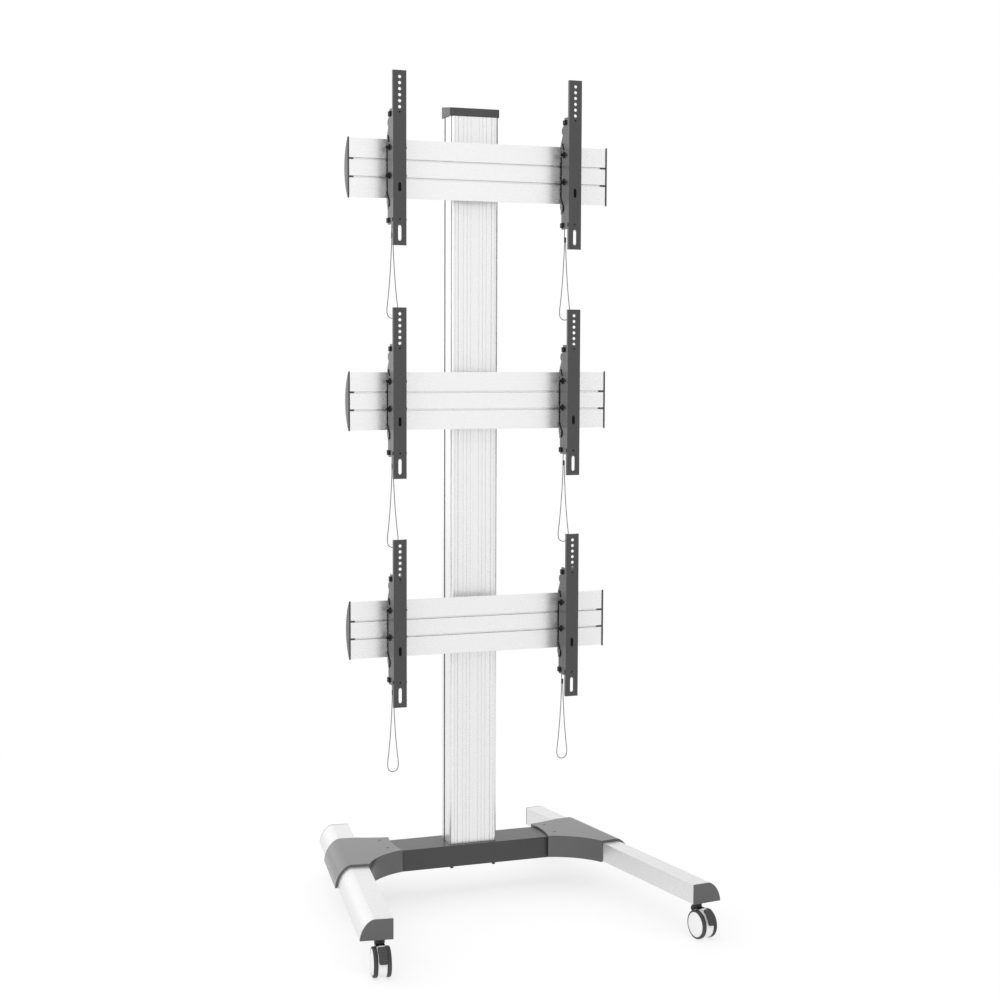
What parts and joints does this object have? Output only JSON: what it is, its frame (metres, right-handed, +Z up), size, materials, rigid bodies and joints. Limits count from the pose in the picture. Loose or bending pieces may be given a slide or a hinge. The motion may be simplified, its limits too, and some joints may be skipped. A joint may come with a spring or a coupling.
{
  "type": "video wall floor stand",
  "caption": "Wheeled floor stand for a tall wall of flat displays: splayed castor base, extruded column, clamped rails and tilting hook-on display arms.",
  "frame": {"origin": "on the floor, below the middle of the stand's bounding box without the pull cords", "axes": "+X to the viewer's right along the rails, +Y from the display side to the back, +Z up along the column"},
  "size_m": [0.9804, 0.9608, 2.2603],
  "materials": {
    "silver_anodised": "satin anodised",
    "dark_powder_coat": "fine powder coat",
    "grey_casting": "satin powder coat on a casting",
    "grey_moulding": "fine moulded grain",
    "zinc_plate": "zinc plated",
    "dark_rubber": "matte",
    "white_plastic": "semi-gloss moulded",
    "castor_wheel": "semi-gloss moulded disc with a dark rubber tread",
    "cord_fibre": "smooth braided cord"
  },
  "bodies": {
    "stand_base": {"cross_beam": "dark_powder_coat", "column": "silver_anodised", "column_cap": "grey_moulding", "leg_left": "silver_anodised", "corner_gusset_left": "grey_casting", "leg_end_cap_left_front": "grey_moulding", "leg_end_cap_left_rear": "grey_moulding", "leg_right": "silver_anodised", "corner_gusset_right": "grey_casting", "leg_end_cap_right_front": "grey_moulding", "leg_end_cap_right_rear": "grey_moulding"},
    "castor_front_left": {"castor_fork_front_left": "white_plastic"},
    "wheels_front_left": {"castor_wheels_front_left": "castor_wheel"},
    "pedal_front_left": {"castor_pedal_front_left": "dark_rubber"},
    "castor_front_right": {"castor_fork_front_right": "white_plastic"},
    "wheels_front_right": {"castor_wheels_front_right": "castor_wheel"},
    "pedal_front_right": {"castor_pedal_front_right": "dark_rubber"},
    "castor_rear_left": {"castor_fork_rear_left": "white_plastic"},
    "wheels_rear_left": {"castor_wheels_rear_left": "castor_wheel"},
    "pedal_rear_left": {"castor_pedal_rear_left": "dark_rubber"},
    "castor_rear_right": {"castor_fork_rear_right": "white_plastic"},
    "wheels_rear_right": {"castor_wheels_rear_right": "castor_wheel"},
    "pedal_rear_right": {"castor_pedal_rear_right": "dark_rubber"},
    "carriage_top": {"rail_top": "silver_anodised", "rail_clamp_top": "dark_powder_coat", "rail_end_cap_top_left": "grey_moulding", "rail_end_cap_top_right": "grey_moulding"},
    "bracket_top_left": {"hook_bracket_top_left": "dark_powder_coat"},
    "arm_top_left": {"display_arm_top_left": "dark_powder_coat"},
    "catch_top_left": {"latch_top_left": "zinc_plate", "pull_cord_top_left": "cord_fibre"},
    "bracket_top_right": {"hook_bracket_top_right": "dark_powder_coat"},
    "arm_top_right": {"display_arm_top_right": "dark_powder_coat"},
    "catch_top_right": {"latch_top_right": "zinc_plate", "pull_cord_top_right": "cord_fibre"},
    "carriage_middle": {"rail_middle": "silver_anodised", "rail_clamp_middle": "dark_powder_coat", "rail_end_cap_middle_left": "grey_moulding", "rail_end_cap_middle_right": "grey_moulding"},
    "bracket_middle_left": {"hook_bracket_middle_left": "dark_powder_coat"},
    "arm_middle_left": {"display_arm_middle_left": "dark_powder_coat"},
    "catch_middle_left": {"latch_middle_left": "zinc_plate", "pull_cord_middle_left": "cord_fibre"},
    "bracket_middle_right": {"hook_bracket_middle_right": "dark_powder_coat"},
    "arm_middle_right": {"display_arm_middle_right": "dark_powder_coat"},
    "catch_middle_right": {"latch_middle_right": "zinc_plate", "pull_cord_middle_right": "cord_fibre"},
    "carriage_bottom": {"rail_bottom": "silver_anodised", "rail_clamp_bottom": "dark_powder_coat", "rail_end_cap_bottom_left": "grey_moulding", "rail_end_cap_bottom_right": "grey_moulding"},
    "bracket_bottom_left": {"hook_bracket_bottom_left": "dark_powder_coat"},
    "arm_bottom_left": {"display_arm_bottom_left": "dark_powder_coat"},
    "catch_bottom_left": {"latch_bottom_left": "zinc_plate", "pull_cord_bottom_left": "cord_fibre"},
    "bracket_bottom_right": {"hook_bracket_bottom_right": "dark_powder_coat"},
    "arm_bottom_right": {"display_arm_bottom_right": "dark_powder_coat"},
    "catch_bottom_right": {"latch_bottom_right": "zinc_plate", "pull_cord_bottom_right": "cord_fibre"}
  },
  "joints": [
    {"name": "swivel_front_left", "type": "hinge", "parent": "stand_base", "child": "castor_front_left", "pos_m": [-0.43329, -0.40451, 0.09], "axis": [0, 0, 1], "continuous": true},
    {"name": "wheel_spin_front_left", "type": "hinge", "parent": "castor_front_left", "child": "wheels_front_left", "pos_m": [-0.43693, -0.42975, 0.0378], "axis": [-0.9898, 0.1426, 0], "continuous": true},
    {"name": "brake_front_left", "type": "hinge", "parent": "castor_front_left", "child": "pedal_front_left", "pos_m": [-0.43622, -0.4248, 0.0835], "axis": [0.9898, -0.1426, 0], "range_deg": [0, 5]},
    {"name": "swivel_front_right", "type": "hinge", "parent": "stand_base", "child": "castor_front_right", "pos_m": [0.43329, -0.40451, 0.09], "axis": [0, 0, 1], "continuous": true},
    {"name": "wheel_spin_front_right", "type": "hinge", "parent": "castor_front_right", "child": "wheels_front_right", "pos_m": [0.43693, -0.42975, 0.0378], "axis": [-0.9898, -0.1426, 0], "continuous": true},
    {"name": "brake_front_right", "type": "hinge", "parent": "castor_front_right", "child": "pedal_front_right", "pos_m": [0.43622, -0.4248, 0.0835], "axis": [0.9898, 0.1426, 0], "range_deg": [0, 5]},
    {"name": "swivel_rear_left", "type": "hinge", "parent": "stand_base", "child": "castor_rear_left", "pos_m": [-0.31448, 0.41997, 0.09], "axis": [0, 0, 1], "continuous": true},
    {"name": "wheel_spin_rear_left", "type": "hinge", "parent": "castor_rear_left", "child": "wheels_rear_left", "pos_m": [-0.29645, 0.438, 0.0378], "axis": [0.7071, -0.7071, 0], "continuous": true},
    {"name": "brake_rear_left", "type": "hinge", "parent": "castor_rear_left", "child": "pedal_rear_left", "pos_m": [-0.29999, 0.43447, 0.0835], "axis": [-0.7071, 0.7071, 0], "range_deg": [0, 5]},
    {"name": "swivel_rear_right", "type": "hinge", "parent": "stand_base", "child": "castor_rear_right", "pos_m": [0.31448, 0.41997, 0.09], "axis": [0, 0, 1], "continuous": true},
    {"name": "wheel_spin_rear_right", "type": "hinge", "parent": "castor_rear_right", "child": "wheels_rear_right", "pos_m": [0.33251, 0.438, 0.0378], "axis": [0.7071, -0.7071, 0], "continuous": true},
    {"name": "brake_rear_right", "type": "hinge", "parent": "castor_rear_right", "child": "pedal_rear_right", "pos_m": [0.32898, 0.43447, 0.0835], "axis": [-0.7071, 0.7071, 0], "range_deg": [0, 5]},
    {"name": "rail_height_top", "type": "slide", "parent": "stand_base", "child": "carriage_top", "axis": [0, 0, 1], "range_m": [-0.03, 0.03]},
    {"name": "bracket_shift_top_left", "type": "slide", "parent": "carriage_top", "child": "bracket_top_left", "axis": [1, 0, 0], "range_m": [-0.08, 0.15]},
    {"name": "tilt_top_left", "type": "hinge", "parent": "bracket_top_left", "child": "arm_top_left", "pos_m": [-0.2494, 0.02848, 1.8733], "axis": [1, 0, 0], "range_deg": [0, 5]},
    {"name": "catch_pull_top_left", "type": "slide", "parent": "bracket_top_left", "child": "catch_top_left", "axis": [0, 0, 1], "range_m": [-0.008, 0], "stiffness_N_per_m": 400, "springref_m": 0.01},
    {"name": "bracket_shift_top_right", "type": "slide", "parent": "carriage_top", "child": "bracket_top_right", "axis": [1, 0, 0], "range_m": [-0.15, 0.08]},
    {"name": "tilt_top_right", "type": "hinge", "parent": "bracket_top_right", "child": "arm_top_right", "pos_m": [0.2494, 0.02848, 1.8733], "axis": [1, 0, 0], "range_deg": [0, 5]},
    {"name": "catch_pull_top_right", "type": "slide", "parent": "bracket_top_right", "child": "catch_top_right", "axis": [0, 0, 1], "range_m": [-0.008, 0], "stiffness_N_per_m": 400, "springref_m": 0.01},
    {"name": "rail_height_middle", "type": "slide", "parent": "stand_base", "child": "carriage_middle", "axis": [0, 0, 1], "range_m": [-0.03, 0.03]},
    {"name": "bracket_shift_middle_left", "type": "slide", "parent": "carriage_middle", "child": "bracket_middle_left", "axis": [1, 0, 0], "range_m": [-0.08, 0.15]},
    {"name": "tilt_middle_left", "type": "hinge", "parent": "bracket_middle_left", "child": "arm_middle_left", "pos_m": [-0.2494, 0.02848, 1.2553], "axis": [1, 0, 0], "range_deg": [0, 5]},
    {"name": "catch_pull_middle_left", "type": "slide", "parent": "bracket_middle_left", "child": "catch_middle_left", "axis": [0, 0, 1], "range_m": [-0.008, 0], "stiffness_N_per_m": 400, "springref_m": 0.01},
    {"name": "bracket_shift_middle_right", "type": "slide", "parent": "carriage_middle", "child": "bracket_middle_right", "axis": [1, 0, 0], "range_m": [-0.15, 0.08]},
    {"name": "tilt_middle_right", "type": "hinge", "parent": "bracket_middle_right", "child": "arm_middle_right", "pos_m": [0.2494, 0.02848, 1.2553], "axis": [1, 0, 0], "range_deg": [0, 5]},
    {"name": "catch_pull_middle_right", "type": "slide", "parent": "bracket_middle_right", "child": "catch_middle_right", "axis": [0, 0, 1], "range_m": [-0.008, 0], "stiffness_N_per_m": 400, "springref_m": 0.01},
    {"name": "rail_height_bottom", "type": "slide", "parent": "stand_base", "child": "carriage_bottom", "axis": [0, 0, 1], "range_m": [-0.03, 0.03]},
    {"name": "bracket_shift_bottom_left", "type": "slide", "parent": "carriage_bottom", "child": "bracket_bottom_left", "axis": [1, 0, 0], "range_m": [-0.08, 0.15]},
    {"name": "tilt_bottom_left", "type": "hinge", "parent": "bracket_bottom_left", "child": "arm_bottom_left", "pos_m": [-0.2494, 0.02848, 0.6373], "axis": [1, 0, 0], "range_deg": [0, 5]},
    {"name": "catch_pull_bottom_left", "type": "slide", "parent": "bracket_bottom_left", "child": "catch_bottom_left", "axis": [0, 0, 1], "range_m": [-0.008, 0], "stiffness_N_per_m": 400, "springref_m": 0.01},
    {"name": "bracket_shift_bottom_right", "type": "slide", "parent": "carriage_bottom", "child": "bracket_bottom_right", "axis": [1, 0, 0], "range_m": [-0.15, 0.08]},
    {"name": "tilt_bottom_right", "type": "hinge", "parent": "bracket_bottom_right", "child": "arm_bottom_right", "pos_m": [0.2494, 0.02848, 0.6373], "axis": [1, 0, 0], "range_deg": [0, 5]},
    {"name": "catch_pull_bottom_right", "type": "slide", "parent": "bracket_bottom_right", "child": "catch_bottom_right", "axis": [0, 0, 1], "range_m": [-0.008, 0], "stiffness_N_per_m": 400, "springref_m": 0.01}
  ]
}
